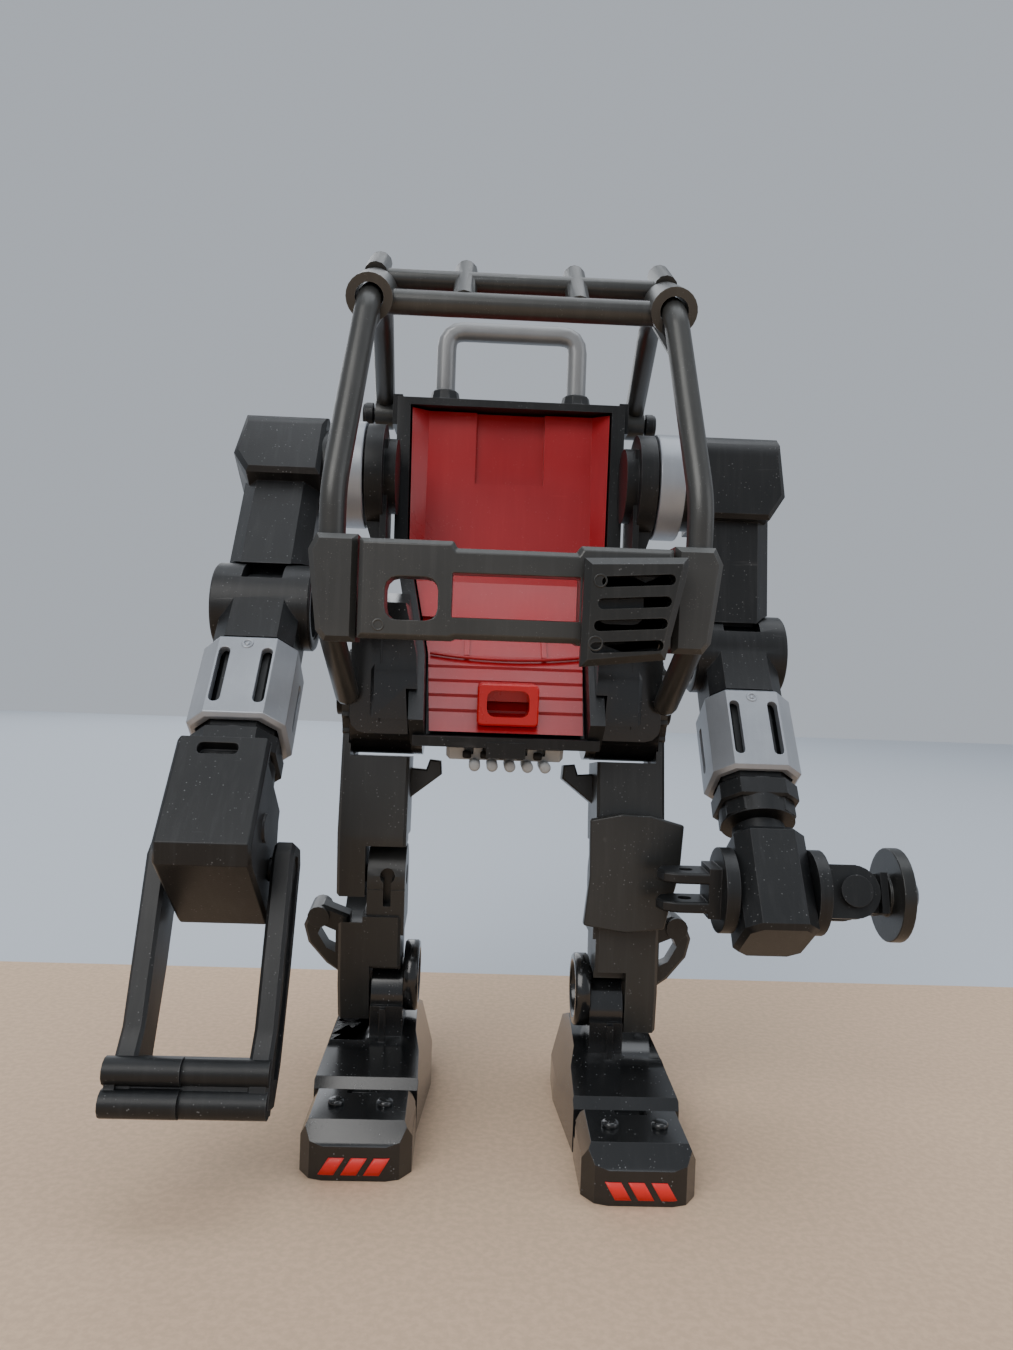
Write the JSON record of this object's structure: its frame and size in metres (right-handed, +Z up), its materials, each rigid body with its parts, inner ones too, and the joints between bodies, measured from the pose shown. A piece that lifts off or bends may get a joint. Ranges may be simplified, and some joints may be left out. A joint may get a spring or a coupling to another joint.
{
  "type": "toy walking robot",
  "caption": "Toy walking robot with an open red cockpit seat, a lift-up roll cage, a scoop-jaw right hand, a pivoting tool left hand and jointed legs.",
  "frame": {"origin": "middle of the bounding box at floor level, in the standing pose", "axes": "+Z up from the floor; -Y the way the robot faces; +X the robot's left-hand side, where the tool hand is"},
  "size_m": [0.1192, 0.088, 0.1466],
  "materials": {
    "red_plastic": "moulded red plastic, between satin and gloss",
    "light_grey_plastic": "satin light grey",
    "handle_grey_plastic": "satin mid grey",
    "screw_steel": "zinc plated",
    "gunmetal_plastic": "dark metallic grey, satin",
    "dark_grey_plastic": "dark grey satin, lightly scuffed",
    "silver_plastic": "silver-pigmented plastic",
    "gloss_black_plastic": "glossy black",
    "black_plastic": "satin black with a fine texture"
  },
  "bodies": {
    "torso": {"seat_frame": "black_plastic", "seat_insert": "red_plastic", "seat_socket": "red_plastic", "back_shell": "black_plastic", "underbody": "light_grey_plastic", "grab_handle": "handle_grey_plastic", "back_screw_1": "screw_steel", "back_screw_2": "screw_steel", "back_screw_3": "screw_steel", "back_screw_4": "screw_steel", "hip_cover_right": "gloss_black_plastic", "hip_cover_left": "gloss_black_plastic", "shoulder_bracket_right": "black_plastic", "shoulder_bracket_left": "black_plastic", "hip_pin_right": "black_plastic", "hip_pin_left": "black_plastic", "cage_pin_right": "black_plastic", "cage_pin_left": "black_plastic"},
    "roll_cage": {"cage_side_right": "gunmetal_plastic", "cage_side_left": "gunmetal_plastic", "roof_rack": "gunmetal_plastic", "bumper": "gunmetal_plastic", "grille_panel": "dark_grey_plastic"},
    "arm_right": {"shoulder_ring_right": "silver_plastic", "upper_arm_right": "black_plastic"},
    "lower_arm_right": {"elbow_pin_right": "black_plastic", "forearm_right": "black_plastic", "forearm_sleeve_right": "silver_plastic"},
    "hand_right": {"gripper_cover": "black_plastic"},
    "jaw": {"gripper_jaw": "black_plastic", "jaw_pin": "black_plastic"},
    "arm_left": {"shoulder_ring_left": "silver_plastic", "upper_arm_left": "black_plastic"},
    "lower_arm_left": {"elbow_pin_left": "black_plastic", "forearm_left": "black_plastic", "forearm_sleeve_left": "silver_plastic"},
    "hand_left": {"tool_head": "black_plastic"},
    "spindle": {"tool_fork": "black_plastic", "tool_spindle": "black_plastic"},
    "bracket": {"tool_bracket": "black_plastic", "bracket_pin": "black_plastic"},
    "roller": {"roller_flange": "dark_grey_plastic", "roller_cap": "black_plastic"},
    "upper_leg_right": {"thigh_right": "dark_grey_plastic"},
    "lower_leg_right": {"knee_pin_right": "black_plastic", "shin_right": "dark_grey_plastic"},
    "foot_right": {"ankle_pin_right": "black_plastic", "foot_shell_right": "gloss_black_plastic"},
    "toe_right": {"toe_cap_right": "gloss_black_plastic", "toe_pin_right": "black_plastic"},
    "upper_leg_left": {"thigh_left": "dark_grey_plastic"},
    "lower_leg_left": {"knee_pin_left": "black_plastic", "shin_left": "dark_grey_plastic", "knee_shield": "dark_grey_plastic"},
    "foot_left": {"ankle_pin_left": "black_plastic", "foot_shell_left": "gloss_black_plastic"},
    "toe_left": {"toe_cap_left": "gloss_black_plastic", "toe_pin_left": "black_plastic"}
  },
  "joints": [
    {"name": "cage_hinge", "type": "hinge", "parent": "torso", "child": "roll_cage", "pos_m": [-0.00702, 0.03663, 0.126], "axis": [-1, 0, 0], "range_deg": [0, 95]},
    {"name": "shoulder_right", "type": "hinge", "parent": "torso", "child": "arm_right", "pos_m": [-0.04893, 0.01683, 0.11], "axis": [-1, 0, 0], "range_deg": [-12, 130]},
    {"name": "shoulder_left", "type": "hinge", "parent": "torso", "child": "arm_left", "pos_m": [0.03488, 0.01683, 0.11], "axis": [-1, 0, 0], "range_deg": [0, 150]},
    {"name": "elbow_right", "type": "hinge", "parent": "arm_right", "child": "lower_arm_right", "pos_m": [-0.04832, -0.00072, 0.08397], "axis": [-1, 0, 0], "range_deg": [-6, 56]},
    {"name": "elbow_left", "type": "hinge", "parent": "arm_left", "child": "lower_arm_left", "pos_m": [0.03578, 0.01301, 0.07883], "axis": [-1, 0, 0], "range_deg": [-4, 34]},
    {"name": "wrist_right", "type": "hinge", "parent": "lower_arm_right", "child": "hand_right", "pos_m": [-0.04832, -0.00072, 0.08397], "axis": [0, 0.6428, 0.766], "range_deg": [-90, 90]},
    {"name": "jaw_hinge", "type": "hinge", "parent": "hand_right", "child": "jaw", "pos_m": [-0.04832, -0.02602, 0.04449], "axis": [-1, 0, 0], "range_deg": [-20, 55]},
    {"name": "wrist_left", "type": "hinge", "parent": "lower_arm_left", "child": "hand_left", "pos_m": [0.03578, 0.01301, 0.07883], "axis": [0, 0.5878, 0.809], "range_deg": [0, 90]},
    {"name": "spindle_turn", "type": "hinge", "parent": "hand_left", "child": "spindle", "pos_m": [0.03578, -0.01462, 0.04081], "axis": [1, 0, 0], "continuous": true},
    {"name": "bracket_fold", "type": "hinge", "parent": "spindle", "child": "bracket", "pos_m": [0.04868, -0.01462, 0.04081], "axis": [0, 0.9511, -0.309], "range_deg": [-50, 50]},
    {"name": "roller_turn", "type": "hinge", "parent": "bracket", "child": "roller", "pos_m": [0.04868, -0.01462, 0.04081], "axis": [1, 0, 0], "continuous": true},
    {"name": "hip_right", "type": "hinge", "parent": "torso", "child": "upper_leg_right", "pos_m": [-0.02892, 0.00453, 0.0687], "axis": [-1, 0, 0], "range_deg": [-30, 24]},
    {"name": "knee_right", "type": "hinge", "parent": "upper_leg_right", "child": "lower_leg_right", "pos_m": [-0.02892, 0.00187, 0.03822], "axis": [-1, 0, 0], "range_deg": [-60, 5]},
    {"name": "ankle_right", "type": "hinge", "parent": "lower_leg_right", "child": "foot_right", "pos_m": [-0.02892, 0.00466, 0.017], "axis": [-1, 0, 0], "range_deg": [-20, 20]},
    {"name": "toe_right", "type": "hinge", "parent": "foot_right", "child": "toe_right", "pos_m": [-0.02763, -0.01594, 0.0046], "axis": [-1, 0, 0], "range_deg": [0, 24]},
    {"name": "hip_left", "type": "hinge", "parent": "torso", "child": "upper_leg_left", "pos_m": [0.01487, 0.00453, 0.0687], "axis": [-1, 0, 0], "range_deg": [-30, 3]},
    {"name": "knee_left", "type": "hinge", "parent": "upper_leg_left", "child": "lower_leg_left", "pos_m": [0.01487, 0.00054, 0.03836], "axis": [-1, 0, 0], "range_deg": [-27, 0]},
    {"name": "ankle_left", "type": "hinge", "parent": "lower_leg_left", "child": "foot_left", "pos_m": [0.01487, -0.00074, 0.017], "axis": [-1, 0, 0], "range_deg": [-20, 20]},
    {"name": "toe_left", "type": "hinge", "parent": "foot_left", "child": "toe_left", "pos_m": [0.01358, -0.02134, 0.0046], "axis": [-1, 0, 0], "range_deg": [0, 24]}
  ]
}
